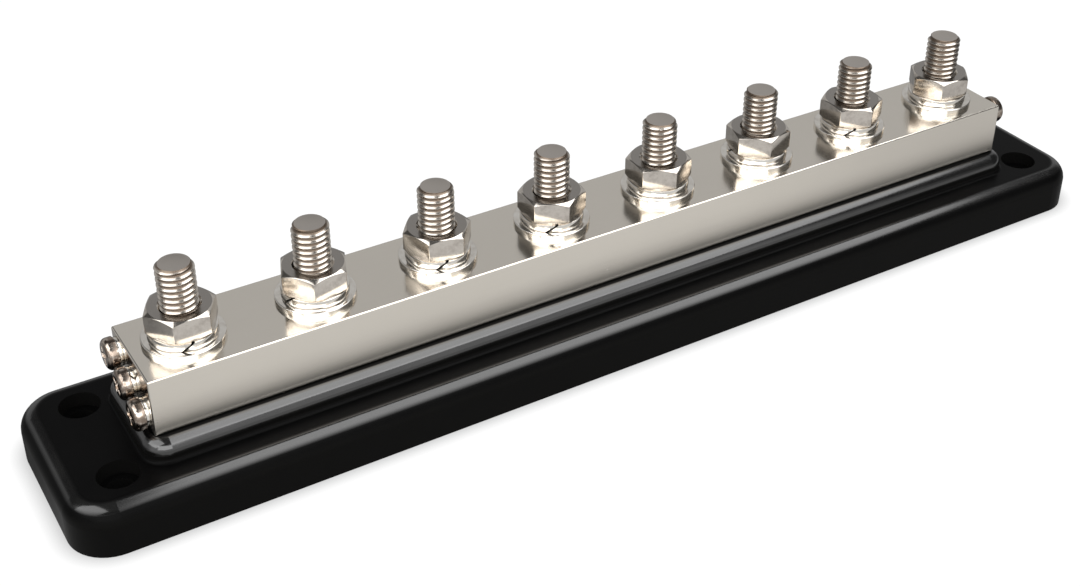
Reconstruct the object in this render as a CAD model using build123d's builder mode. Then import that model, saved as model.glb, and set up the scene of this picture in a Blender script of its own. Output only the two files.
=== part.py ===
# Power bus bar: a plated copper bar with eight terminal studs on a moulded insulating base.
# Millimetres. X runs along the bar, -Y is the front, Z is up.
# The origin is at the middle of the underside of the base.

from build123d import *
from math import radians, sqrt, tan
import os

# Row of studs
stud_count = 8
stud_pitch = 34.4
stud_diameter = 9.525            # 3/8 inch, coarse thread
stud_stand_out = 21.3            # from the top of the bar to the end of the stud
stud_end_chamfer = 0.9
stud_hole_clearance = 0.2        # radial, through the bar
stud_head_flats = 14.29
stud_head_height = 6.17
head_pocket_clearance = 0.25     # around and under each stud head

# Bar
bar_width = 26.6
bar_thickness = 15.8
bar_end_margin = 13.8            # from the last stud's axis to the end of the bar
bar_edge_radius = 0.5

# Terminal hardware on each stud
flat_washer_diameter = 20.6
flat_washer_thickness = 1.4
flat_washer_clearance = 0.45     # radial, around the stud
flat_washer_edge = 0.25
lock_washer_diameter = 17.2
lock_washer_thickness = 2.1
lock_washer_clearance = 0.1      # radial, around the stud
lock_washer_edge = 0.3
lock_washer_split = 1.0
nut_flats = 15.9
nut_height = 6.2
nut_bore_clearance = 0.05        # radial, around the stud
nut_mouth_chamfer = 0.5
nut_turns = (16, 22, 40, 1, 2, 14, 0, 35)           # degrees from the front to a corner, towards the left
split_turns = (12, 75, 20, 31, 250, 110, 40, 300)   # degrees from the front to the split, towards the left

# Turned chamfer on the nuts and stud heads
hex_chamfer_angle = 28
hex_face_share = 0.97            # face circle left by the chamfer, as a share of the flats
hex_corner_relief = 0.01         # disc beyond the corners, so that the flats stay whole

# Split of every lock washer
split_slant_share = 0.55         # lean of the split to each side, as a share of the thickness
split_overrun_share = 0.1        # cut beyond each face

# Screws in the ends of the bar
end_screw_diameter = 4.166       # number 8, 32 threads to the inch
end_screw_length = 6.35
end_screw_head_diameter = 8.2
end_screw_head_height = 2.9
end_screw_step_across = 8.2      # from one screw to the next, across the bar
end_screw_step_down = 3.7        # and down the end face
end_hole_spare_depth = 1.65      # hole beyond the end of the screw
end_hole_clearance = 0.05        # radial
end_washer_diameter = 7.4
end_washer_thickness = 1.0
end_washer_clearance = 0.1       # radial
end_washer_edge = 0.15
end_washer_split = 0.6
end_split_turns = (200, 320, 80)

# Cross recess in every screw head
recess_span_share = 0.58         # of the head's diameter
recess_slot_share = 0.13
recess_depth_share = 0.55        # of the head's height
recess_taper = 12
head_round_share = 0.5           # rounding at the top of a pan head, of the head's height
tip_chamfer_share = 0.1          # chamfer at the tip of a screw, of its diameter

# Base
foot_length = 21.5               # base beyond the pedestal, at each end
ledge_width = 10.2               # base beyond the pedestal, at each side
base_thickness = 13.0
base_corner_radius = 11.0
base_rim_radius = 5.0
pedestal_end_margin = 3.3        # pedestal beyond the bar, at each end
pedestal_side_margin = 4.0       # pedestal beyond the bar, at each side
pedestal_height = 5.5
pedestal_corner_radius = 6.0
pedestal_edge_radius = 3.6
pedestal_foot_radius = 1.0
fillet_land = 0.5                # flat left beside a rounded edge
edge_tolerance = 0.01            # for picking edges by their height

# Mounting holes in the feet
mount_hole_diameter = 6.6
mount_bore_diameter = 10.4
mount_bore_depth = 4.0
mount_set_out = 7.0              # from the end of the pedestal to the hole's axis
mount_inset_side = 12.5          # from the side of the base to the hole's axis

# Hollows moulded into the underside
wall = 3.0
roof = 3.0
rib = 3.0
spine_width = 24.0               # solid middle that carries the stud heads
web_length = 16.0                # solid web between two stud heads
core_corner_radius = 1.5
foot_core_length = 9.0
foot_core_width = 14.0

# Screws that hold the bar down, driven from under the base
hold_down_diameter = 4.826       # number 10
hold_down_length = 19.05
hold_down_head_diameter = 9.1
hold_down_head_height = 2.9
hold_down_seat_height = 6.0
hold_down_bore_clearance = 0.55  # radial, around the head
hold_down_hole_clearance = 0.2   # radial, through the base
hold_down_thread_clearance = 0.05
hold_down_spare_depth = 2.0      # hole in the bar beyond the end of the screw
hold_down_reach = 1.5            # from the end studs inwards, in pitches

# Worked out from the sizes above
bar_length = (stud_count - 1) * stud_pitch + 2 * bar_end_margin
pedestal_length = bar_length + 2 * pedestal_end_margin
pedestal_width = bar_width + 2 * pedestal_side_margin
base_length = pedestal_length + 2 * foot_length
base_width = pedestal_width + 2 * ledge_width
bar_bottom = base_thickness + pedestal_height
bar_middle = bar_bottom + bar_thickness / 2
bar_top = bar_bottom + bar_thickness
lock_washer_bottom = bar_top + flat_washer_thickness
nut_bottom = lock_washer_bottom + lock_washer_thickness
stud_top = bar_top + stud_stand_out
stud_places = [(index - (stud_count - 1) / 2) * stud_pitch for index in range(stud_count)]
hold_down_place = stud_places[-1] - hold_down_reach * stud_pitch
hold_down_places = sorted({-hold_down_place, hold_down_place})
pedestal_edge_room = min(pedestal_height - pedestal_foot_radius, pedestal_corner_radius) - fillet_land
rim_room = min(base_thickness, base_corner_radius) - fillet_land
end_hole_depth = end_screw_length - end_washer_thickness + end_hole_spare_depth

os.makedirs("parts", exist_ok=True)


def save(part, name):
    """Label a finished piece and write it under its own name."""
    part.label = name
    export_step(part, f"parts/{name}.step")


def turned_plane(origin, x_dir, z_dir, turn):
    """Plane at a point, its X turned about its Z."""
    turned_x = Vector(*x_dir).rotate(Axis((0, 0, 0), z_dir), turn)
    return Plane(origin=origin, x_dir=turned_x, z_dir=z_dir)


def upright_seat(place_x, height, turn=0):
    """Plane that looks up from a point on the bar's centre line, its X turned from the front to the left."""
    return turned_plane((place_x, 0, height), (0, -1, 0), (0, 0, 1), -turn)


def end_seat(side, row, height_above_bar_end, turn=0):
    """Plane that looks out of one end of the bar, at one of the three screw places."""
    across = -side * row * end_screw_step_across
    place_z = bar_middle + row * end_screw_step_down
    place_x = side * (bar_length / 2 + height_above_bar_end)
    return turned_plane((place_x, across, place_z), (0, 0, 1), (side, 0, 0), turn)


def profile_plane(seat):
    """Plane through the seat's axis: X is the radius, Y runs along the axis."""
    return Plane(origin=seat.origin, x_dir=seat.x_dir, z_dir=-seat.y_dir)


def seat_axis(seat):
    return Axis(seat.origin, seat.z_dir)


def chamfered_disc_points(flats, bottom, top, cut_bottom, cut_top):
    """Half outline of the disc that turns a hexagon's corners away at either face."""
    face_radius = flats / 2 * hex_face_share
    corner_radius = flats / sqrt(3) + hex_corner_relief
    drop = (corner_radius - face_radius) * tan(radians(hex_chamfer_angle))
    lower = [(face_radius, bottom), (corner_radius, bottom + drop)] if cut_bottom else [(corner_radius, bottom)]
    upper = [(corner_radius, top - drop), (face_radius, top)] if cut_top else [(corner_radius, top)]
    return [(0, bottom), *lower, *upper, (0, top), (0, bottom)]


def build_base():
    """Moulded base: feet with mounting holes, raised pedestal, pockets for the stud heads, cored underside."""
    core_roof = base_thickness - roof
    spine_core_roof = bar_bottom - stud_head_height - head_pocket_clearance - roof
    side_core_width = (base_width - spine_width) / 2 - wall
    side_core_y = spine_width / 2 + side_core_width / 2
    side_core_length = min(stud_pitch, 2 * (bar_end_margin + pedestal_end_margin)) - rib
    foot_core_x = base_length / 2 - wall - foot_core_length / 2
    mount_span_x = pedestal_length + 2 * mount_set_out
    mount_span_y = base_width - 2 * mount_inset_side
    head_pocket_flats = stud_head_flats + 2 * head_pocket_clearance
    with BuildPart() as base:
        with BuildSketch(Plane.XY):
            RectangleRounded(base_length, base_width, base_corner_radius)
        extrude(amount=base_thickness)
        fillet(base.faces().sort_by(Axis.Z)[-1].outer_wire().edges(), min(base_rim_radius, rim_room))

        # Raised pedestal under the bar, rounded over at its top and run into the base at its foot
        with BuildSketch(Plane.XY.offset(base_thickness)):
            RectangleRounded(pedestal_length, pedestal_width, pedestal_corner_radius)
        extrude(amount=pedestal_height)
        pedestal_edges = base.faces().sort_by(Axis.Z)[-1].outer_wire().edges()
        fillet(pedestal_edges, min(pedestal_edge_radius, pedestal_edge_room))
        foot_low = base_thickness - edge_tolerance
        foot_high = base_thickness + edge_tolerance
        foot_reach = pedestal_width / 2 + edge_tolerance
        foot_edges = [
            edge
            for edge in base.edges().filter_by_position(Axis.Z, foot_low, foot_high)
            if abs(edge.center().Y) < foot_reach
            and abs(edge.center().X) < pedestal_length / 2 + edge_tolerance
        ]
        fillet(foot_edges, pedestal_foot_radius)

        # Hexagonal pockets that keep the stud heads from turning
        with BuildSketch(Plane.XY.offset(bar_bottom)):
            with Locations(*[(place, 0) for place in stud_places]):
                RegularPolygon(head_pocket_flats / 2, 6, major_radius=False)
        extrude(amount=-(stud_head_height + head_pocket_clearance), mode=Mode.SUBTRACT)

        # Mounting holes, counterbored from above
        with Locations(Plane.XY.offset(base_thickness)):
            with GridLocations(mount_span_x, mount_span_y, 2, 2):
                CounterBoreHole(mount_hole_diameter / 2, mount_bore_diameter / 2, mount_bore_depth, base_thickness)

        # Hollows in the underside: one beside each stud at the front and back, one under each stud head
        with BuildSketch(Plane.XY):
            with Locations(*[(place, side * side_core_y) for place in stud_places for side in (-1, 1)]):
                RectangleRounded(side_core_length, side_core_width, core_corner_radius)
        extrude(amount=core_roof, mode=Mode.SUBTRACT)
        with BuildSketch(Plane.XY):
            with Locations(*[(place, 0) for place in stud_places]):
                RectangleRounded(stud_pitch - web_length, spine_width - 2 * rib, core_corner_radius)
        extrude(amount=spine_core_roof, mode=Mode.SUBTRACT)
        with BuildSketch(Plane.XY):
            with Locations((-foot_core_x, 0), (foot_core_x, 0)):
                RectangleRounded(foot_core_length, foot_core_width, core_corner_radius)
        extrude(amount=core_roof, mode=Mode.SUBTRACT)

        # Stepped holes for the screws that hold the bar down
        with BuildSketch(Plane.XY):
            with Locations(*[(place, 0) for place in hold_down_places]):
                Circle(hold_down_head_diameter / 2 + hold_down_bore_clearance)
        extrude(amount=hold_down_seat_height, mode=Mode.SUBTRACT)
        with BuildSketch(Plane.XY):
            with Locations(*[(place, 0) for place in hold_down_places]):
                Circle(hold_down_diameter / 2 + hold_down_hole_clearance)
        extrude(amount=bar_bottom, mode=Mode.SUBTRACT)
    return base.part


def build_bar():
    """Plated copper bar: stud holes through it, blind tapped holes in its ends and its underside."""
    hold_down_hole_depth = hold_down_seat_height + hold_down_length + hold_down_spare_depth - bar_bottom
    with BuildPart() as bar:
        with BuildSketch(Plane.XY.offset(bar_bottom)):
            Rectangle(bar_length, bar_width)
        extrude(amount=bar_thickness)
        fillet(bar.edges(), bar_edge_radius)
        with BuildSketch(Plane.XY.offset(bar_bottom)):
            with Locations(*[(place, 0) for place in stud_places]):
                Circle(stud_diameter / 2 + stud_hole_clearance)
        extrude(amount=bar_thickness, mode=Mode.SUBTRACT)
        with BuildSketch(Plane.XY.offset(bar_bottom)):
            with Locations(*[(place, 0) for place in hold_down_places]):
                Circle(hold_down_diameter / 2 + hold_down_thread_clearance)
        extrude(amount=hold_down_hole_depth, mode=Mode.SUBTRACT)
        for side in (-1, 1):
            for row in (-1, 0, 1):
                with BuildSketch(end_seat(side, row, 0)):
                    Circle(end_screw_diameter / 2 + end_hole_clearance)
                extrude(amount=-end_hole_depth, mode=Mode.SUBTRACT)
    return bar.part


def build_stud(place):
    """Bolt with its hexagonal head under the bar, so that its shank stands up as the stud."""
    seat = upright_seat(place, bar_bottom, 90)
    outline = chamfered_disc_points(stud_head_flats, -stud_head_height, 0, True, False)
    with BuildPart() as stud:
        with BuildSketch(seat.offset(-stud_head_height)):
            RegularPolygon(stud_head_flats / 2, 6, major_radius=False, rotation=0)
        extrude(amount=stud_head_height)
        with BuildSketch(profile_plane(seat)):
            with BuildLine():
                Polyline(*outline)
            make_face()
        revolve(axis=seat_axis(seat), mode=Mode.INTERSECT)
        with BuildSketch(seat):
            Circle(stud_diameter / 2)
        extrude(amount=stud_top - bar_bottom)
        chamfer(stud.faces().sort_by(Axis.Z)[-1].edges(), stud_end_chamfer)
    return stud.part


def build_flat_washer(place):
    with BuildPart() as flat_washer:
        with BuildSketch(upright_seat(place, bar_top)):
            Circle(flat_washer_diameter / 2)
            Circle(stud_diameter / 2 + flat_washer_clearance, mode=Mode.SUBTRACT)
        extrude(amount=flat_washer_thickness)
        fillet(flat_washer.faces().sort_by(Axis.Z)[-1].outer_wire().edges(), flat_washer_edge)
    return flat_washer.part


def build_lock_washer(seat, outer_diameter, inner_diameter, thickness, edge, split):
    """Spring lock washer, flattened, with its slanted split on the seat's X."""
    mid_radius = (outer_diameter + inner_diameter) / 4
    section = (outer_diameter - inner_diameter) / 2
    slant = thickness * split_slant_share
    cut_bottom = -thickness * split_overrun_share
    cut_top = thickness * (1 + split_overrun_share)
    cut = Plane(origin=seat.origin + seat.x_dir * mid_radius, x_dir=seat.y_dir, z_dir=seat.x_dir)
    corners = [
        (-slant - split / 2, cut_bottom),
        (-slant + split / 2, cut_bottom),
        (slant + split / 2, cut_top),
        (slant - split / 2, cut_top),
    ]
    with BuildPart() as lock_washer:
        with BuildSketch(seat):
            Circle(outer_diameter / 2)
            Circle(inner_diameter / 2, mode=Mode.SUBTRACT)
        extrude(amount=thickness)
        rims = lock_washer.edges().filter_by(GeomType.CIRCLE).sort_by(SortBy.RADIUS)[-2:]
        chamfer(rims, edge)
        with BuildSketch(cut):
            with BuildLine():
                Polyline(*corners, close=True)
            make_face()
        extrude(amount=section, both=True, mode=Mode.SUBTRACT)
    return lock_washer.part


def build_nut(place, turn):
    """Plain hexagon nut with a turned chamfer on both faces, one corner on the seat's X."""
    seat = upright_seat(place, nut_bottom, turn)
    bore_radius = stud_diameter / 2 + nut_bore_clearance
    outline = chamfered_disc_points(nut_flats, 0, nut_height, True, True)
    with BuildPart() as nut:
        with BuildSketch(seat):
            RegularPolygon(nut_flats / 2, 6, major_radius=False)
        extrude(amount=nut_height)
        with BuildSketch(profile_plane(seat)):
            with BuildLine():
                Polyline(*outline)
            make_face()
        revolve(axis=seat_axis(seat), mode=Mode.INTERSECT)
        with BuildSketch(seat):
            Circle(bore_radius)
        extrude(amount=nut_height, mode=Mode.SUBTRACT)
        mouths = nut.edges().filter_by(GeomType.CIRCLE).sort_by(SortBy.RADIUS)[:2]
        chamfer(mouths, nut_mouth_chamfer)
    return nut.part


def build_pan_screw(seat, diameter, length, head_diameter, head_height):
    """Pan-head screw with a cross recess; the seat lies under its head and looks out of the head."""
    recess_plane = seat.offset(head_height)
    recess_depth = head_height * recess_depth_share
    recess_span = head_diameter * recess_span_share
    recess_slot = head_diameter * recess_slot_share
    with BuildPart() as screw:
        with BuildSketch(seat):
            Circle(head_diameter / 2)
        extrude(amount=head_height)
        fillet(screw.faces().sort_by(seat_axis(seat))[-1].edges(), head_height * head_round_share)
        with BuildSketch(seat):
            Circle(diameter / 2)
        extrude(amount=-length)
        chamfer(screw.faces().sort_by(seat_axis(seat))[0].edges(), diameter * tip_chamfer_share)
        with BuildSketch(recess_plane):
            Rectangle(recess_span, recess_slot)
            Rectangle(recess_slot, recess_span)
        extrude(amount=-recess_depth, taper=recess_taper, mode=Mode.SUBTRACT)
    return screw.part


save(build_base(), "base")
save(build_bar(), "bus_bar")

for number, place in enumerate(stud_places, 1):
    nut_turn = nut_turns[(number - 1) % len(nut_turns)]
    split_turn = split_turns[(number - 1) % len(split_turns)]
    washer_seat = upright_seat(place, lock_washer_bottom, split_turn)
    washer_bore = stud_diameter + 2 * lock_washer_clearance
    save(build_stud(place), f"stud_{number}")
    save(build_flat_washer(place), f"flat_washer_{number}")
    lock_washer = build_lock_washer(
        washer_seat, lock_washer_diameter, washer_bore, lock_washer_thickness, lock_washer_edge, lock_washer_split
    )
    save(lock_washer, f"lock_washer_{number}")
    save(build_nut(place, nut_turn), f"hex_nut_{number}")

for end_name, side in (("left", -1), ("right", 1)):
    for number, row in enumerate((1, 0, -1), 1):
        washer_seat = end_seat(side, row, 0, end_split_turns[number - 1])
        washer_bore = end_screw_diameter + 2 * end_washer_clearance
        end_washer = build_lock_washer(
            washer_seat, end_washer_diameter, washer_bore, end_washer_thickness, end_washer_edge, end_washer_split
        )
        save(end_washer, f"end_lock_washer_{end_name}_{number}")
        end_screw = build_pan_screw(
            end_seat(side, row, end_washer_thickness),
            end_screw_diameter, end_screw_length, end_screw_head_diameter, end_screw_head_height,
        )
        save(end_screw, f"end_screw_{end_name}_{number}")

for number, place in enumerate(hold_down_places, 1):
    screw_seat = Plane(origin=(place, 0, hold_down_seat_height), x_dir=(1, 0, 0), z_dir=(0, 0, -1))
    hold_down_screw = build_pan_screw(
        screw_seat, hold_down_diameter, hold_down_length, hold_down_head_diameter, hold_down_head_height
    )
    save(hold_down_screw, f"hold_down_screw_{number}")
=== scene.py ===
# Looks, light and camera for the bus bar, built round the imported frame.
# Lengths in the dictionaries are millimetres and angles are degrees, unless a note says otherwise.
# Each kind of piece and each finish has its own dictionary of values above its code.
import math

import bmesh
import bpy
from mathutils import Matrix, Vector


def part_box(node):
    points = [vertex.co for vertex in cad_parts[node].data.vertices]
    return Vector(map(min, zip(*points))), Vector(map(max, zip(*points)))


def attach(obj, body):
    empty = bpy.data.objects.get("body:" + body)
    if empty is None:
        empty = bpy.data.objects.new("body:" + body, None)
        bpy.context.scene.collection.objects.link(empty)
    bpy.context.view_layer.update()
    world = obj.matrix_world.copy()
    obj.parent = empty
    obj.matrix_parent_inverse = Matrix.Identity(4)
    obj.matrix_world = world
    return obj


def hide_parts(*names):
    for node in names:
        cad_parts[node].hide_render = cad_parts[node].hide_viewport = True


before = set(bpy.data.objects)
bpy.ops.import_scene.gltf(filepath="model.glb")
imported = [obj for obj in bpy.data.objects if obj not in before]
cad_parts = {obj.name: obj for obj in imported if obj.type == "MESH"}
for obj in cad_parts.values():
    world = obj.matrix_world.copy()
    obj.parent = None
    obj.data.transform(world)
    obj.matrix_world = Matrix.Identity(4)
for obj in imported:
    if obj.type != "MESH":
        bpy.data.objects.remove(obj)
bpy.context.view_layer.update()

mm = 0.001
scene = bpy.context.scene
print("frame loaded with", len(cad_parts), "nodes")


# Shader kit
class Wire:
    # an output socket that can stand in sums and products
    def __init__(self, board, socket):
        self.board = board
        self.socket = socket

    def join(self, operation, first, second):
        return self.board.node("ShaderNodeMath", {"operation": operation}, {0: first, 1: second})

    def __add__(self, other):
        return self.join("ADD", self, other)

    def __radd__(self, other):
        return self.join("ADD", other, self)

    def __sub__(self, other):
        return self.join("SUBTRACT", self, other)

    def __rsub__(self, other):
        return self.join("SUBTRACT", other, self)

    def __mul__(self, other):
        return self.join("MULTIPLY", self, other)

    def __rmul__(self, other):
        return self.join("MULTIPLY", other, self)


class Board:
    # the node tree of a material or of the world, with the few nodes used again and again
    def __init__(self, tree):
        self.tree = tree
        tree.nodes.clear()

    def node(self, kind, settings, sockets, output=0):
        made = self.tree.nodes.new(kind)
        for name, value in settings.items():
            setattr(made, name, value)
        for name, value in sockets.items():
            if isinstance(value, Wire):
                self.tree.links.new(value.socket, made.inputs[name])
            else:
                made.inputs[name].default_value = value
        if not made.outputs:
            return None
        return Wire(self, made.outputs[output])

    def vector(self, operation, first, second, output=0):
        return self.node("ShaderNodeVectorMath", {"operation": operation}, {0: first, 1: second}, output)

    def ownPlace(self):
        # where a point is on its own piece, in millimetres
        here = self.node("ShaderNodeTexCoord", {}, {}, "Object")
        return self.vector("MULTIPLY", here, (1 / mm, 1 / mm, 1 / mm))

    def facing(self):
        # which way the surface looks, in the piece's own axes
        return self.node("ShaderNodeTexCoord", {}, {}, "Normal")

    def split(self, vector):
        cut = self.tree.nodes.new("ShaderNodeSeparateXYZ")
        self.tree.links.new(vector.socket, cut.inputs[0])
        return [Wire(self, socket) for socket in cut.outputs]

    def stretch(self, vector, amounts):
        return self.vector("MULTIPLY", vector, amounts)

    def noise(self, vector, scale, detail=3.0, roughness=0.55):
        sockets = {"Vector": vector, "Scale": scale, "Detail": detail, "Roughness": roughness}
        return self.node("ShaderNodeTexNoise", {}, sockets, "Fac")

    def smooth(self, value, low, high, lowest=0.0, highest=1.0):
        sockets = {"Value": value, "From Min": low, "From Max": high, "To Min": lowest, "To Max": highest}
        return self.node("ShaderNodeMapRange", {"interpolation_type": "SMOOTHSTEP"}, sockets)

    def between(self, value, rise, fall):
        # 1 where a value lies between a rising and a falling edge
        return self.smooth(value, *rise) * self.smooth(value, *fall)

    def greater(self, first, second):
        return self.node("ShaderNodeMath", {"operation": "MAXIMUM"}, {0: first, 1: second})

    def blend(self, mask, first, second):
        # two colours, or a colour and a link, mixed by a mask; 6, 7 and 2 are the colour sockets
        sockets = {0: mask, 6: first, 7: second}
        return self.node("ShaderNodeMix", {"data_type": "RGBA"}, sockets, 2)

    def fromAxis(self, vector):
        # distance from the piece's own upright axis
        flat = self.stretch(vector, (1, 1, 0))
        return self.node("ShaderNodeVectorMath", {"operation": "LENGTH"}, {0: flat}, "Value")

    def bump(self, height, distance, strength):
        # distance in millimetres
        sockets = {"Height": height, "Distance": distance * mm, "Strength": strength}
        return self.node("ShaderNodeBump", {}, sockets)


def rgb(red, green, blue):
    return (red, green, blue, 1.0)


def newMaterial(name, finish):
    # finish lays out the nodes and gives the sockets of the surface shader
    material = bpy.data.materials.new(name)
    material.use_nodes = True
    board = Board(material.node_tree)
    surface = board.node("ShaderNodeBsdfPrincipled", {}, finish(board))
    board.node("ShaderNodeOutputMaterial", {}, {"Surface": surface})
    return material


# Black moulded plastic of the base: matt and dark on its flats, polished on the rounded edges
plastic = {
    "deep": rgb(0.0010, 0.0010, 0.0011),
    # the paler colour serves random mottle, rubbed wear and painted light on the walls
    "wornAndWallLight": rgb(0.0092, 0.0090, 0.0084),
    "mottleShare": 0.20,        # how far each of these three moves the colour from deep to wornAndWallLight
    "paintedWallLightShare": 0.50,
    "rubbedShare": 0.60,
    "paintedWallLightFacing": (0.60, 0.20),     # upward share of the normal over which a surface turns into a wall, which takes painted light
    "rubbedFrom": (0.35, 0.70),
    "grainSize": 0.35,
    "grainDepth": 0.010,
    "grainStrength": 0.25,
    "mottleSize": 9.0,
    "roughness": 0.36,
    "roughnessSpread": 0.12,
    "specular": 0.045,
    "polishRoughness": 0.13,
    "polishIor": 1.8,
    "rimPolish": 0.80,
    "rimFacing": ((0.66, 0.86), (0.998, 0.97)),
    "rimHeight": (13.02, 12.98),
    "pedestalPolish": 1.0,
    "pedestalFacing": ((0.02, 0.12), (0.990, 0.960)),
    "footTop": (14.6, 15.1),        # below this the hollow foot of the pedestal stays matt
}


def mouldedPlastic(board):
    here = board.ownPlace()
    height = board.split(here)[2]
    facingUp = board.split(board.facing())[2]
    grain = board.noise(here, 1 / plastic["grainSize"], detail=2.0)
    mottle = board.noise(here, 1 / plastic["mottleSize"], detail=5.0, roughness=0.62)
    rim = board.between(facingUp, *plastic["rimFacing"]) * board.smooth(height, *plastic["rimHeight"])
    shoulder = board.between(facingUp, *plastic["pedestalFacing"]) * board.smooth(height, *plastic["footTop"])
    polish = rim * plastic["rimPolish"] + shoulder * plastic["pedestalPolish"]
    rubbed = polish * board.smooth(mottle, *plastic["rubbedFrom"])
    # painted light: walls and other sideways surfaces take a paler colour than the flats
    paintedWallLight = board.smooth(facingUp, *plastic["paintedWallLightFacing"])
    toneShift = rubbed * plastic["rubbedShare"] + mottle * plastic["mottleShare"] + paintedWallLight * plastic["paintedWallLightShare"]
    return {
        "Base Color": board.blend(toneShift, plastic["deep"], plastic["wornAndWallLight"]),
        "Roughness": plastic["roughness"] + (mottle - 0.5) * plastic["roughnessSpread"],
        "Specular IOR Level": plastic["specular"],
        "Coat Weight": polish,
        "Coat Roughness": plastic["polishRoughness"],
        "Coat IOR": plastic["polishIor"],
        "Normal": board.bump(grain, plastic["grainDepth"], plastic["grainStrength"]),
    }


# Bright plating of the bar: drawn along its length, cloudy, with a few handling marks
plating = {
    "bright": rgb(0.815, 0.765, 0.690),
    "dull": rgb(0.720, 0.675, 0.600),
    "dullByClouds": 0.55,
    "dullByScuffs": 0.35,
    "dullByStreaks": 0.10,
    "roughness": 0.16,
    "streakRoughness": 0.10,
    "scuffRoughness": 0.08,
    "lowRoughness": 0.08,       # added along the lower edge, where handling has dulled it
    "lowEdge": (25.0, 22.5),
    "streakLength": 60.0,
    "streakWidth": 0.16,
    "streakDepth": 0.0012,
    "streakStrength": 0.6,
    "cloudSize": 26.0,
    "markStretch": (0.08, 0.9, 0.9),    # handling marks, drawn out along the bar
    "scuffFrom": (0.60, 0.78),
}


def drawnPlating(board):
    here = board.ownPlace()
    along = 1 / plating["streakLength"]
    across = 1 / plating["streakWidth"]
    streaks = board.noise(board.stretch(here, (along, across, across)), scale=1.0)
    clouds = board.noise(here, 1 / plating["cloudSize"], detail=4.0, roughness=0.6)
    drawn = board.stretch(here, plating["markStretch"])
    marks = board.noise(drawn, scale=1.0, detail=6.0, roughness=0.72)
    scuffs = board.smooth(marks, *plating["scuffFrom"])
    low = board.smooth(board.split(here)[2], *plating["lowEdge"])
    toneShift = clouds * plating["dullByClouds"] + scuffs * plating["dullByScuffs"]
    toneShift = toneShift + streaks * plating["dullByStreaks"]
    roughness = plating["roughness"] + (streaks - 0.5) * plating["streakRoughness"]
    return {
        "Base Color": board.blend(toneShift, plating["bright"], plating["dull"]),
        "Metallic": 1.0,
        "Roughness": roughness + scuffs * plating["scuffRoughness"] + low * plating["lowRoughness"],
        "Normal": board.bump(streaks, plating["streakDepth"], plating["streakStrength"]),
    }


# Stainless steel of the studs: bright rolled crests, thread roots painted dark brown as painted shade in the
# grooves
studSteel = {
    "crest": rgb(0.66, 0.605, 0.540),
    # painted shade: the dark brown of the thread roots stands for the shade in the grooves
    "root": rgb(0.20, 0.155, 0.120),
    "end": rgb(0.50, 0.460, 0.420),
    "crestRoughness": 0.20,
    "rootRoughness": 0.42,
    "endRoughness": 0.34,
    "rootRadius": 3.95,
    "crestRadius": 4.62,
    "radiusSpread": 0.35,       # how far patches shift the edge between root and crest
    "endFacing": (0.9, 0.98),
    "patchSize": 2.2,
    "fineSize": 0.35,
    "fineRoughness": 0.08,
    "fineDepth": 0.006,
    "fineStrength": 0.5,
}


def rolledSteel(board):
    here = board.ownPlace()
    patches = board.noise(here, 1 / studSteel["patchSize"], detail=4.0, roughness=0.65)
    fine = board.noise(here, 1 / studSteel["fineSize"])
    radius = board.fromAxis(here) + (patches - 0.5) * studSteel["radiusSpread"]
    height = board.smooth(radius, studSteel["rootRadius"], studSteel["crestRadius"])
    onTop = board.smooth(board.split(board.facing())[2], *studSteel["endFacing"])
    # the crests keep the bright colour and the roots take the painted shade
    light = board.smooth(height + onTop, 0.0, 1.0)
    thread = board.blend(light, studSteel["root"], studSteel["crest"])
    root, crest, end = studSteel["rootRoughness"], studSteel["crestRoughness"], studSteel["endRoughness"]
    roughness = root + light * (crest - root) + onTop * (end - crest)
    return {
        "Base Color": board.blend(onTop, thread, studSteel["end"]),
        "Metallic": 1.0,
        "Roughness": roughness + (fine - 0.5) * studSteel["fineRoughness"],
        "Normal": board.bump(fine, studSteel["fineDepth"], studSteel["fineStrength"]),
    }


# Turned stainless steel of nuts and screw heads: bright flats, darker faces with faint tool rings
turned = {
    "bright": rgb(0.70, 0.650, 0.590),
    "dull": rgb(0.50, 0.455, 0.405),
    "face": rgb(0.36, 0.335, 0.310),
    "roughness": 0.15,
    "roughnessSpread": 0.12,
    "faceRoughness": 0.06,
    "faceFrom": (0.93, 0.99),       # square of the upward share of the normal
    "patchSize": 3.0,
    "dullFrom": (0.35, 0.75),
    "fineSize": 0.30,
    "ringsPerMillimetre": 4.1,
    "ringShare": 0.5,
    "reliefDepth": 0.004,
    "reliefStrength": 0.5,
}
# The small screws take a darker, browner copy of the turned steel as painted shade, with its small bright
# patches as painted glints
screwSteel = dict(
    turned, bright=rgb(0.66, 0.590, 0.520), dull=rgb(0.27, 0.215, 0.175), face=rgb(0.36, 0.310, 0.265),
    roughness=0.17, patchSize=1.3, dullFrom=(0.34, 0.56),
)


def turnedSteel(board, look=turned):
    here = board.ownPlace()
    facingUp = board.split(board.facing())[2]
    onFace = board.smooth(facingUp * facingUp, *look["faceFrom"])
    ringTurns = 2 * math.pi * look["ringsPerMillimetre"]
    rings = board.node("ShaderNodeMath", {"operation": "SINE"}, {0: board.fromAxis(here) * ringTurns})
    patches = board.noise(here, 1 / look["patchSize"], detail=4.0, roughness=0.62)
    fine = board.noise(here, 1 / look["fineSize"])
    relief = rings * onFace * look["ringShare"] + fine
    side = board.blend(board.smooth(patches, *look["dullFrom"]), look["bright"], look["dull"])
    roughness = look["roughness"] + (patches - 0.5) * look["roughnessSpread"]
    return {
        "Base Color": board.blend(onFace, side, look["face"]),
        "Metallic": 1.0,
        "Roughness": roughness + onFace * look["faceRoughness"],
        "Normal": board.bump(relief, look["reliefDepth"], look["reliefStrength"]),
    }


# turned steel with the screws' painted shade and painted glints
def shadedScrewSteel(board):
    return turnedSteel(board, screwSteel)


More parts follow.
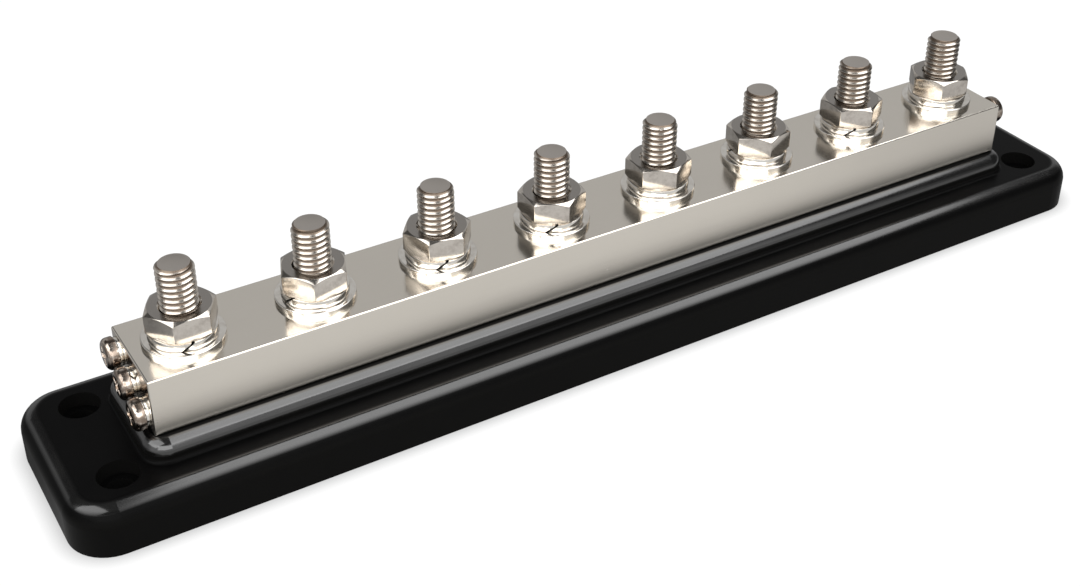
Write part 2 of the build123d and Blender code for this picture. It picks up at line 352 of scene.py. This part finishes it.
# Stamped stainless steel of the washers: tumbled, with soft dents and no rings
stamped = {
    "bright": rgb(0.86, 0.825, 0.770),
    "dull": rgb(0.66, 0.615, 0.555),
    "roughness": 0.15,
    "roughnessSpread": 0.14,
    "patchSize": 4.0,
    "dullFrom": (0.35, 0.85),
    "dentSize": 0.9,
    "dentDepth": 0.012,
    "dentStrength": 0.4,
}


def stampedSteel(board):
    here = board.ownPlace()
    patches = board.noise(here, 1 / stamped["patchSize"], detail=4.0, roughness=0.62)
    dents = board.noise(here, 1 / stamped["dentSize"], detail=2.0)
    dullness = board.smooth(patches, *stamped["dullFrom"])
    return {
        "Base Color": board.blend(dullness, stamped["bright"], stamped["dull"]),
        "Metallic": 1.0,
        "Roughness": stamped["roughness"] + (patches - 0.5) * stamped["roughnessSpread"],
        "Normal": board.bump(dents, stamped["dentDepth"], stamped["dentStrength"]),
    }


finishes = {
    "plastic": newMaterial("mouldedBlackPlastic", mouldedPlastic),
    "plating": newMaterial("drawnBrightPlating", drawnPlating),
    "stud": newMaterial("rolledStainlessStud", rolledSteel),
    "turned": newMaterial("turnedStainless", turnedSteel),
    "screw": newMaterial("shadedScrewSteelWithGlints", shadedScrewSteel),
    "stamped": newMaterial("stampedStainless", stampedSteel),
}
print("finishes made:", ", ".join(finishes))


# Mesh kit
meshing = {"mergeWithin": 0.002, "sharpAbove": 30}


def makeMesh(name, points, faces, sharpAbove=meshing["sharpAbove"]):
    mesh = bpy.data.meshes.new(name)
    mesh.from_pydata([[length * mm for length in point] for point in points], [], faces)
    shape = bmesh.new()
    shape.from_mesh(mesh)
    bmesh.ops.remove_doubles(shape, verts=shape.verts, dist=meshing["mergeWithin"] * mm)
    bmesh.ops.dissolve_degenerate(shape, dist=meshing["mergeWithin"] * mm, edges=shape.edges)
    bmesh.ops.recalc_face_normals(shape, faces=shape.faces)
    shape.to_mesh(mesh)
    shape.free()
    mesh.shade_smooth()
    mesh.set_sharp_from_angle(angle=math.radians(sharpAbove))
    return mesh


def stackRings(rings, closed=False):
    # quads between rings of equal count, closed back to the first ring for a piece with a hole through it
    count = len(rings[0])
    points = [point for ring in rings for point in ring]
    faces = []
    for low in range(len(rings) if closed else len(rings) - 1):
        high = (low + 1) % len(rings)
        for step in range(count):
            after = (step + 1) % count
            faces.append((low * count + step, low * count + after, high * count + after, high * count + step))
    return points, faces


def ringAt(radius, height, angles):
    return [(radius * math.cos(angle), radius * math.sin(angle), height) for angle in angles]


def evenAngles(count):
    return [2 * math.pi * step / count for step in range(count)]


def place(name, mesh, where, finish, body, replaced):
    piece = bpy.data.objects.new(name, mesh)
    scene.collection.objects.link(piece)
    piece.matrix_world = where
    piece.data.materials.clear()
    piece.data.materials.append(finishes[finish])
    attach(piece, body)
    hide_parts(replaced)
    return piece


def upright(spot, turn=0.0):
    # local X looks to the front, turned towards the left end
    return Matrix.Translation(spot) @ Matrix.Rotation(math.radians(-90 - turn), 4, "Z")


def endOn(spot, side, turn=0.0):
    # local Z looks out of one end of the bar, local X up and turned about it
    outward = Vector((side, 0, 0))
    up = Matrix.Rotation(math.radians(turn), 3, outward) @ Vector((0, 0, 1))
    across = outward.cross(up)
    axes = Matrix((up, across, outward)).transposed().to_4x4()
    return Matrix.Translation(spot) @ axes


def footOf(node):
    # middle of a node's box, at the height of its lowest point
    low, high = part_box(node)
    return Vector(((low.x + high.x) / 2, (low.y + high.y) / 2, low.z))


# Threads: a helical skin whose rows follow the flanks
# Shares of one turn, each with how far it lies below the crest as a share of the depth
threadProfile = (
    (-0.085, 0.06), (-0.05, 0.0), (0.05, 0.0), (0.085, 0.06),
    (0.36, 0.94), (0.41, 1.0), (0.59, 1.0), (0.64, 0.94),
)


def sinkAt(share):
    # depth share of the profile at a share of a turn, read between its points
    share = (share - threadProfile[0][0]) % 1.0 + threadProfile[0][0]
    corners = threadProfile + ((threadProfile[0][0] + 1, threadProfile[0][1]),)
    for (before, sinkBefore), (after, sinkAfter) in zip(corners, corners[1:]):
        if share <= after:
            return sinkBefore + (sinkAfter - sinkBefore) * (share - before) / (after - before)
    return corners[-1][1]


def threadSkin(thread, angles):
    # rows from bottom to top; the last column joins the first one a turn higher
    bottom, top, pitch = thread["bottom"], thread["top"], thread["pitch"]
    tipRadius = thread["radius"] - thread["tipChamfer"]
    perTurn = len(threadProfile)
    spareTurns = 2      # below the bottom; rows past either end are laid on it
    rows = (math.ceil((top - bottom) / pitch) + spareTurns + 1) * perTurn
    columns = len(angles)
    points = []
    for row in range(rows):
        share, _ = threadProfile[row % perTurn]
        for angle in angles:
            rise = angle / (2 * math.pi)
            height = bottom + (row // perTurn - spareTurns + share + rise) * pitch
            height = min(max(height, bottom), top)
            sink = sinkAt((height - bottom) / pitch - rise)
            fade = min(1.0, (height - bottom) / thread["runOut"])
            radius = thread["radius"] - thread["depth"] * sink * fade
            radius = min(radius, tipRadius + (top - height))    # the tip's chamfer, 45 degrees
            points.append((radius * math.cos(angle), radius * math.sin(angle), height))
    faces = []
    for row in range(rows - 1):
        for column in range(columns - 1):
            corner = row * columns + column
            faces.append((corner, corner + 1, corner + columns + 1, corner + columns))
    for row in range(rows - 1 - perTurn):
        corner = row * columns + columns - 1
        seam = (row + perTurn) * columns
        faces.append((corner, seam, seam + columns, corner + columns))
    return points, faces


def joinShapes(*shapes):
    points = []
    faces = []
    for morePoints, moreFaces in shapes:
        start = len(points)
        points.extend(morePoints)
        faces.extend(tuple(start + corner for corner in face) for face in moreFaces)
    return points, faces


# Hexagons with turned chamfers
def hexRadius(flats, angle, corner=0.0):
    # radius of a hexagon with a corner on local X, its corners rounded
    sector = math.pi / 3
    fromCorner = abs((angle + sector / 2) % sector - sector / 2)
    flat = flats / 2 / math.cos(sector / 2 - fromCorner)
    if corner == 0.0:
        return flat
    centre = (flats / 2 - corner) / math.cos(sector / 2)
    reach = corner * corner - (centre * math.sin(fromCorner)) ** 2
    if reach <= 0 or fromCorner > hexCornerSpan(flats, corner):
        return flat
    return centre * math.cos(fromCorner) + math.sqrt(reach)


def hexCornerSpan(flats, corner):
    # half the angle that a rounded corner takes up
    centre = (flats / 2 - corner) / math.cos(math.pi / 6)
    return math.atan2(corner * math.sin(math.pi / 6), centre + corner * math.cos(math.pi / 6))


def hexAngles(flats, corner, perSide):
    span = hexCornerSpan(flats, corner)
    angles = []
    for side in range(6):
        start = side * math.pi / 3
        angles.extend((start - span, start - span / 2, start, start + span / 2, start + span))
        room = math.pi / 3 - 2 * span
        angles.extend(start + span + room * step / perSide for step in range(1, perSide))
    return angles


# Studs: bolts with their heads under the bar
stud = {
    "radius": 4.7625,
    "depth": 0.86,
    "pitch": 1.5875,
    "bottom": 31.4,
    "runOut": 1.2,
    "tipChamfer": 0.9,
    "columns": 60,
    "headFlats": 14.29,
    "headHeight": 6.17,
    "headChamfer": 0.35,
    "headSlope": 0.5,       # how far the head's chamfer rises for each step outward
    "endDish": 0.05,
    "dishRim": (0.86, 0.80),        # shares of the tip's radius
    "turns": (0, 130, 250, 40, 310, 190, 85, 220),      # where each thread starts
}


def studMesh(low, high):
    # heights in the mesh are above the foot of the bolt
    angles = evenAngles(stud["columns"])
    thread = dict(stud, bottom=stud["bottom"] - low, top=high - low)
    skin = threadSkin(thread, angles)
    tipRadius = stud["radius"] - stud["tipChamfer"]
    head = stud["headHeight"]
    inscribed = stud["headFlats"] / 2
    lower = []
    upper = []
    for angle in angles:
        radius = hexRadius(stud["headFlats"], angle)
        x, y = radius * math.cos(angle), radius * math.sin(angle)
        lower.append((x, y, stud["headChamfer"] + (radius - inscribed) * stud["headSlope"]))
        upper.append((x, y, head))
    rings = [
        ringAt(0, 0, angles),
        ringAt(inscribed - stud["headChamfer"], 0, angles),
        lower,
        upper,
        ringAt(stud["radius"], head, angles),
        ringAt(stud["radius"], thread["bottom"], angles),
    ]
    cap = [
        ringAt(tipRadius, thread["top"], angles),
        ringAt(tipRadius * stud["dishRim"][0], thread["top"], angles),
        ringAt(tipRadius * stud["dishRim"][1], thread["top"] - stud["endDish"], angles),
        ringAt(0, thread["top"] - stud["endDish"], angles),
    ]
    return makeMesh("studBolt", *joinShapes(stackRings(rings), skin, stackRings(cap)))


studLow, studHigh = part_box("stud_1")
studShape = studMesh(studLow.z / mm, studHigh.z / mm)
for number, turn in enumerate(stud["turns"], 1):
    node = f"stud_{number}"
    where = upright(footOf(node), turn)
    place(f"threadedStud{number}", studShape, where, "stud", "bar_and_base", node)
print("studs placed")


# Flat washers: stamped, so the upper rim is rolled over and the lower one is crisp
flatWasher = {
    "outer": 10.3,
    "inner": 5.2125,
    "thickness": 1.4,
    "rollOver": 0.28,
    "crisp": 0.06,
    "columns": 72,
    "rollSteps": 4,
    "turnStep": 35,     # each washer lies turned by this much more than the one before
}


def rollOver(radius, height, size, steps):
    # quarter round from the side up to the face
    corners = []
    for step in range(steps + 1):
        angle = math.pi / 2 * step / steps
        corners.append((radius - size + size * math.cos(angle), height - size + size * math.sin(angle)))
    return corners


def flatWasherMesh():
    outer, inner = flatWasher["outer"], flatWasher["inner"]
    high, crisp = flatWasher["thickness"], flatWasher["crisp"]
    profile = [(inner, crisp), (inner + crisp, 0), (outer - crisp, 0), (outer, crisp)]
    profile += rollOver(outer, high, flatWasher["rollOver"], flatWasher["rollSteps"])
    profile += [(inner + 2 * crisp, high), (inner, high - 2 * crisp)]
    angles = evenAngles(flatWasher["columns"])
    rings = [ringAt(radius, height, angles) for radius, height in profile]
    return makeMesh("flatWasher", *stackRings(rings, closed=True))


flatWasherShape = flatWasherMesh()
for number in range(1, len(stud["turns"]) + 1):
    node = f"flat_washer_{number}"
    where = upright(footOf(node), flatWasher["turnStep"] * number)
    place(f"flatWasher{number}", flatWasherShape, where, "stamped", "bar_and_base", node)
print("flat washers placed")


# Split lock washers: square wire with rounded edges, cut on a slant
lockWasher = {
    "outer": 8.6,
    "inner": 4.8625,
    "thickness": 2.1,
    "edge": 0.32,
    "softShare": 0.3,       # of the edge
    "split": 0.7,
    "slantShare": 0.55,     # of the thickness
    "columns": 80,
    "turns": (12, 75, 20, 31, 250, 110, 40, 300),
}


def lockWasherMesh(name, washer):
    outer, inner, high, edge = washer["outer"], washer["inner"], washer["thickness"], washer["edge"]
    small = edge * washer["softShare"]
    section = [(inner, small), (inner + small, 0), (outer - edge, 0), (outer - small, small), (outer, edge)]
    section += [(outer, high - edge), (outer - small, high - small), (outer - edge, high)]
    section += [(inner + small, high), (inner, high - small)]
    middle = (outer + inner) / 2
    slant = high * washer["slantShare"]
    rings = []
    for step in range(washer["columns"] + 1):
        along = step / washer["columns"]
        ring = []
        for radius, height in section:
            lean = slant * (2 * height / high - 1)
            start = (lean + washer["split"] / 2) / middle
            end = 2 * math.pi + (lean - washer["split"] / 2) / middle
            angle = start + (end - start) * along
            ring.append((radius * math.cos(angle), radius * math.sin(angle), height))
        rings.append(ring)
    points, faces = stackRings(rings)
    count = len(section)
    last = (len(rings) - 1) * count
    faces.append(tuple(range(count)))
    faces.append(tuple(reversed(range(last, last + count))))
    return makeMesh(name, points, faces)


lockWasherShape = lockWasherMesh("lockWasher", lockWasher)
for number, turn in enumerate(lockWasher["turns"], 1):
    node = f"lock_washer_{number}"
    spot = footOf(f"flat_washer_{number}")
    spot.z = footOf(node).z
    place(f"lockWasher{number}", lockWasherShape, upright(spot, turn), "stamped", node, node)
print("lock washers placed")


# Hexagon nuts: both faces turned, corners cut back by the chamfer, mouths opened
nut = {
    "flats": 15.9,
    "height": 6.2,
    "bore": 4.8125,
    "mouth": 0.5,
    "faceShare": 0.97,
    "chamferAngle": 28,
    "corner": 0.30,
    "softEdge": 0.10,
    "softShares": (0.25, 0.15),     # of the soft edge, inward and along the side
    "perSide": 12,
    "sharpAbove": 22,
    "turns": (30, 22, 40, 1, 2, 14, 0, 35),
}


def nutMesh():
    angles = hexAngles(nut["flats"], nut["corner"], nut["perSide"])
    high = nut["height"]
    soft = nut["softEdge"]
    faceRadius = nut["flats"] / 2 * nut["faceShare"]
    slope = math.tan(math.radians(nut["chamferAngle"]))
    inward, along = [soft * share for share in nut["softShares"]]
    sides = [hexRadius(nut["flats"], angle, nut["corner"]) for angle in angles]
    drops = [(radius - faceRadius) * slope for radius in sides]

    def skirt(shrink, drop, top):
        # one ring just beside the edge between a flat and the chamfer
        ring = []
        for radius, edge, angle in zip(sides, drops, angles):
            height = high - (edge + drop) if top else edge + drop
            ring.append(((radius - shrink) * math.cos(angle), (radius - shrink) * math.sin(angle), height))
        return ring

    rings = [
        ringAt(nut["bore"], nut["mouth"], angles),
        ringAt(nut["bore"] + nut["mouth"], 0, angles),
        ringAt(faceRadius, 0, angles),
        skirt(soft, -soft * slope, False),
        skirt(inward, along, False),
        skirt(0, soft, False),
        skirt(0, soft, True),
        skirt(inward, along, True),
        skirt(soft, -soft * slope, True),
        ringAt(faceRadius, high, angles),
        ringAt(nut["bore"] + nut["mouth"], high, angles),
        ringAt(nut["bore"], high - nut["mouth"], angles),
    ]
    return makeMesh("hexNut", *stackRings(rings, closed=True), sharpAbove=nut["sharpAbove"])


nutShape = nutMesh()
for number, turn in enumerate(nut["turns"], 1):
    node = f"hex_nut_{number}"
    spot = footOf(f"flat_washer_{number}")
    spot.z = footOf(node).z
    place(f"hexNut{number}", nutShape, upright(spot, turn), "turned", node, node)
print("nuts placed")


# Pan-head screws with a cross recess: three in each end of the bar, two that hold it down
endScrew = {
    "name": "panScrew",
    "radius": 2.083,
    "depth": 0.42,
    "pitch": 0.79375,
    "length": 6.35,
    "runOut": 0.5,
    "tipChamfer": 0.42,
    "headRadius": 4.1,
    "headHeight": 2.9,
    "headRound": 1.45,
    "roundSteps": 7,
    "seatEdge": 0.12,
    "crownShare": 0.4,      # of the head's radius
    "columns": 48,
}
holdDownScrew = dict(
    endScrew, name="holdDownScrew", radius=2.413, pitch=1.0583, depth=0.5, length=19.05,
    tipChamfer=0.48, headRadius=4.55,
)
crossRecess = {
    "spanShare": 0.58,      # of the head's diameter
    "slotShare": 0.13,
    "depthShare": 0.55,     # of the head's height
    "taper": 12,
    "middleShare": 0.11,    # round middle of the recess
    "coneShares": (0.4, 0.8, 1.3),      # of that middle: depth of its point, radius below and radius above
    "coneColumns": 16,
    "overshoot": 0.3,
}


def taperedBlock(wide, deep, top, depth, overshoot, taper):
    # four-sided cutter, narrower towards its bottom
    shrink = math.tan(math.radians(taper))
    rings = []
    for height in (top - depth, top + overshoot):
        inset = (top - height) * shrink
        x = wide / 2 - inset
        y = deep / 2 - inset
        rings.append([(-x, -y, height), (x, -y, height), (x, y, height), (-x, y, height)])
    points, faces = stackRings(rings)
    return points, faces + [(3, 2, 1, 0), (4, 5, 6, 7)]


def recessCutters(screw):
    span = screw["headRadius"] * 2 * crossRecess["spanShare"]
    slot = screw["headRadius"] * 2 * crossRecess["slotShare"]
    depth = screw["headHeight"] * crossRecess["depthShare"]
    top = screw["headHeight"]
    overshoot, taper = crossRecess["overshoot"], crossRecess["taper"]
    middle = screw["headRadius"] * 2 * crossRecess["middleShare"]
    point, below, above = [middle * share for share in crossRecess["coneShares"]]
    angles = evenAngles(crossRecess["coneColumns"])
    cone = [
        ringAt(0, top - depth - point, angles),
        ringAt(below, top - depth, angles),
        ringAt(above, top + overshoot, angles),
        ringAt(0, top + overshoot, angles),
    ]
    return [
        taperedBlock(span, slot, top, depth, overshoot, taper),
        taperedBlock(slot, span, top, depth, overshoot, taper),
        stackRings(cone),
    ]


def screwMesh(screw):
    # seat of the head at height 0, head above, shank below
    angles = evenAngles(screw["columns"])
    rim = screw["headRadius"]
    high = screw["headHeight"]
    thread = dict(screw, bottom=0.0, top=screw["length"])
    points, faces = threadSkin(thread, angles)
    shank = [(x, -y, -z) for x, y, z in points], faces     # turned over about X, so it stays right-handed
    tip = screw["radius"] - screw["tipChamfer"]
    foot = [(0, -screw["length"]), (tip, -screw["length"])]
    edge = screw["seatEdge"]
    head = [(screw["radius"], 0), (rim - edge, 0), (rim, edge), (rim, high - screw["headRound"])]
    head += rollOver(rim, high, screw["headRound"], screw["roundSteps"])[1:]
    head += [(rim * screw["crownShare"], high), (0, high)]
    headAngles = [-angle for angle in angles]
    shapes = [
        stackRings([ringAt(radius, height, headAngles) for radius, height in foot]),
        shank,
        stackRings([ringAt(radius, height, headAngles) for radius, height in head]),
    ]
    blank = bpy.data.objects.new("blank", makeMesh(screw["name"], *joinShapes(*shapes)))
    scene.collection.objects.link(blank)
    cutters = []
    for points, faces in recessCutters(screw):
        cutter = bpy.data.objects.new("cutter", makeMesh("cutter", points, faces))
        scene.collection.objects.link(cutter)
        cut = blank.modifiers.new("cut", "BOOLEAN")
        cut.operation = "DIFFERENCE"
        cut.solver = "EXACT"
        cut.object = cutter
        cutters.append(cutter)
    bpy.context.view_layer.update()
    made = bpy.data.meshes.new_from_object(blank.evaluated_get(bpy.context.evaluated_depsgraph_get()))
    for helper in cutters + [blank]:
        bpy.data.objects.remove(helper)
    made.name = screw["name"]
    made.shade_smooth()
    made.set_sharp_from_angle(angle=math.radians(meshing["sharpAbove"]))
    return made


# Rows of three in the ends of the bar, each screw on its own lock washer
endRow = {
    "splitTurns": (200, 320, 80),
    "recessTurns": {"left": (24, 61, 8), "right": (40, 12, 75)},
}
endWasher = dict(lockWasher, outer=3.7, inner=2.183, thickness=1.0, edge=0.15, split=0.6, columns=48)
endWasherShape = lockWasherMesh("endLockWasher", endWasher)
endScrewShape = screwMesh(endScrew)
for endName, side in (("left", -1), ("right", 1)):
    for number, splitTurn in enumerate(endRow["splitTurns"], 1):
        screwNode = f"end_screw_{endName}_{number}"
        washerNode = f"end_lock_washer_{endName}_{number}"
        low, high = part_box(screwNode)
        middle = (low + high) / 2
        headTop = max(abs(low.x), abs(high.x))
        seat = Vector((side * (headTop - endScrew["headHeight"] * mm), middle.y, middle.z))
        washerSeat = seat - Vector((side * endWasher["thickness"] * mm, 0, 0))
        recessTurn = endRow["recessTurns"][endName][number - 1]
        tail = f"{endName.capitalize()}{number}"
        place(
            f"endScrew{tail}", endScrewShape, endOn(seat, side, recessTurn),
            "screw", screwNode, screwNode,
        )
        place(
            f"endLockWasher{tail}", endWasherShape, endOn(washerSeat, side, splitTurn),
            "stamped", washerNode, washerNode,
        )
print("end screws placed")

holdDownShape = screwMesh(holdDownScrew)
for number in (1, 2):
    node = f"hold_down_screw_{number}"
    seat = footOf(node) + Vector((0, 0, holdDownScrew["headHeight"] * mm))
    where = Matrix.Translation(seat) @ Matrix.Rotation(math.pi, 4, "X")
    place(f"holdDownScrew{number}", holdDownShape, where, "screw", "bar_and_base", node)
print("hold-down screws placed")


# Base and bar keep their own solids and take a finish
def dress(node, finish):
    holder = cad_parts[node]
    if not holder.material_slots:
        holder.data.materials.append(finishes[finish])
    for materialSlot in holder.material_slots:
        materialSlot.link = "OBJECT"
        materialSlot.material = finishes[finish]


dress("base", "plastic")
dress("bus_bar", "plating")
print("base and bar finished")


# Studio: white floor and surroundings, soft panels overhead, to the left and in front
# Metal sees a plainer room with two dark cards and a darker floor behind the bar
studio = {
    "floorSpan": 12.0,          # metres, as all lengths in this dictionary
    "floorColour": rgb(0.08, 0.08, 0.08),
    "floorGlow": 0.95,
    "contactReach": 0.005,
    "contactShade": 0.75,
    "contactSamples": 12,
    "mirroredFront": 0.60,      # what metal sees of the floor in front of the bar and behind it
    "mirroredBack": 0.19,
    "frontFrom": (0.02, -0.02),     # over which it turns from one to the other
    "mirroredRight": 0.80,      # what is left of that beyond the right end
    "rightFrom": (0.05, 0.17),
    "besideBase": (0.0462, 0.0450),     # from the middle: where the painted shadow strip that the bar mirrors ends
    "besideShade": 0.34,
    "diffuseSky": 0.18,
    "frontSky": 1.0,            # what metal sees of the sky in front, behind, overhead and in the cards
    "backSky": 0.50,
    "backFrom": (-0.25, 0.25),
    "zenithSky": 0.10,
    "zenithFrom": (0.64, 0.82),     # heights of the look
    "cardSky": 0.08,
    # azimuths run from behind the bar towards its right end, edges are cosines, rises are heights of the look
    "cards": (
        {"azimuth": -28, "edge": (0.84, 0.95), "rise": (0.36, 0.48)},
        {"azimuth": 108, "edge": (0.76, 0.90), "rise": (-0.12, 0.12)},
    ),
    "panels": {
        "panelOverhead": {
            "middle": (0.495, -0.435, 1.0), "size": (0.91, 1.43), "turn": (0, 0, 0), "radiance": 3.0,
        },
        "panelLeft": {
            "middle": (-0.69, -0.05, 0.75), "size": (0.88, 0.80), "turn": (0, -35, 0), "radiance": 2.4,
        },
        "panelFront": {
            "middle": (-0.43, -0.80, 0.53), "size": (1.10, 0.55), "turn": (60, 0, -28), "radiance": 2.4,
        },
    },
}


def seenRays(board):
    # 1 for what the camera, metal and glass see, and 1 for what the camera alone sees
    kinds = ("Is Camera Ray", "Is Glossy Ray", "Is Transmission Ray")
    camera, glossy, transmission = [board.node("ShaderNodeLightPath", {}, {}, kind) for kind in kinds]
    return board.greater(board.greater(camera, glossy), transmission), camera


def floorMaterial():
    material = bpy.data.materials.new("paleFloor")
    material.use_nodes = True
    board = Board(material.node_tree)
    seen, direct = seenRays(board)
    reach = {"Distance": studio["contactReach"]}
    samples = {"samples": studio["contactSamples"]}
    openness = board.node("ShaderNodeAmbientOcclusion", samples, reach, "AO")
    contact = 1 - (1 - openness) * studio["contactShade"]
    along, forward, _ = board.split(board.node("ShaderNodeTexCoord", {}, {}, "Object"))
    aside = board.node("ShaderNodeMath", {"operation": "ABSOLUTE"}, {0: forward})
    beside = 1 - board.smooth(aside, *studio["besideBase"]) * studio["besideShade"]
    openFloor = board.smooth(forward, *studio["frontFrom"], studio["mirroredBack"], studio["mirroredFront"])
    mirrored = openFloor * beside * board.smooth(along, *studio["rightFrom"], 1.0, studio["mirroredRight"])
    level = mirrored + direct * (contact * studio["floorGlow"] - mirrored)
    glow = board.node("ShaderNodeEmission", {}, {"Color": rgb(1, 1, 1), "Strength": seen * level})
    matt = board.node("ShaderNodeBsdfDiffuse", {}, {"Color": studio["floorColour"]})
    both = board.node("ShaderNodeAddShader", {}, {0: matt, 1: glow})
    board.node("ShaderNodeOutputMaterial", {}, {"Surface": both})
    return material


def makeFloor():
    half = studio["floorSpan"] / 2
    corners = [(-half, -half, 0), (half, -half, 0), (half, half, 0), (-half, half, 0)]
    mesh = bpy.data.meshes.new("floor")
    mesh.from_pydata(corners, [], [(0, 1, 2, 3)])
    floor = bpy.data.objects.new("floor", mesh)
    scene.collection.objects.link(floor)
    mesh.materials.append(floorMaterial())


def lightWorld():
    world = bpy.data.worlds.new("studioSky")
    scene.world = world
    world.use_nodes = True
    board = Board(world.node_tree)
    look = board.node("ShaderNodeTexCoord", {}, {}, "Generated")
    _, forward, height = board.split(look)
    seen, direct = seenRays(board)
    low = board.smooth(forward, *studio["backFrom"], studio["frontSky"], studio["backSky"])
    level = board.stretch(look, (1, 1, 0))
    bearing = board.node("ShaderNodeVectorMath", {"operation": "NORMALIZE"}, {0: level}, "Vector")
    for card in studio["cards"]:
        angle = math.radians(card["azimuth"])
        nearness = board.vector("DOT_PRODUCT", bearing, (math.sin(angle), math.cos(angle), 0), "Value")
        shade = board.smooth(nearness, *card["edge"]) * board.smooth(height, *card["rise"])
        low = low + shade * (studio["cardSky"] - low)
    above = board.smooth(height, *studio["zenithFrom"])
    mirrored = low + above * (studio["zenithSky"] - low)
    shown = mirrored + direct * (1 - mirrored)
    strength = studio["diffuseSky"] + seen * (shown - studio["diffuseSky"])
    sky = board.node("ShaderNodeBackground", {}, {"Color": rgb(1, 1, 1), "Strength": strength})
    board.node("ShaderNodeOutputWorld", {}, {"Surface": sky})


def hangPanels():
    for name, panel in studio["panels"].items():
        lamp = bpy.data.lights.new(name, "AREA")
        lamp.shape = "RECTANGLE"
        lamp.size, lamp.size_y = panel["size"]
        lamp.energy = panel["radiance"] * math.pi * lamp.size * lamp.size_y
        light = bpy.data.objects.new(name, lamp)
        scene.collection.objects.link(light)
        light.location = panel["middle"]
        light.rotation_euler = [math.radians(angle) for angle in panel["turn"]]
        light.visible_camera = False


makeFloor()
lightWorld()
hangPanels()
print("studio lit")


# Camera of the photograph, fitted to the edges of the object
view = {
    "lens": 53.14,
    "sensor": 36.0,
    "shiftY": -0.0796,
    "clipStart": 0.01,      # metres
    "location": (-0.20681, -0.31082, 0.25937),      # metres
    "rotation": (58.753, 0.0, -30.899),
}


def setCamera():
    data = bpy.data.cameras.new("camera")
    data.lens = view["lens"]
    data.sensor_width = view["sensor"]
    data.shift_y = view["shiftY"]
    data.clip_start = view["clipStart"]
    camera = bpy.data.objects.new("camera", data)
    scene.collection.objects.link(camera)
    camera.location = view["location"]
    camera.rotation_euler = [math.radians(angle) for angle in view["rotation"]]
    scene.camera = camera


setCamera()
scene.view_settings.view_transform = "Standard"
print("camera set")
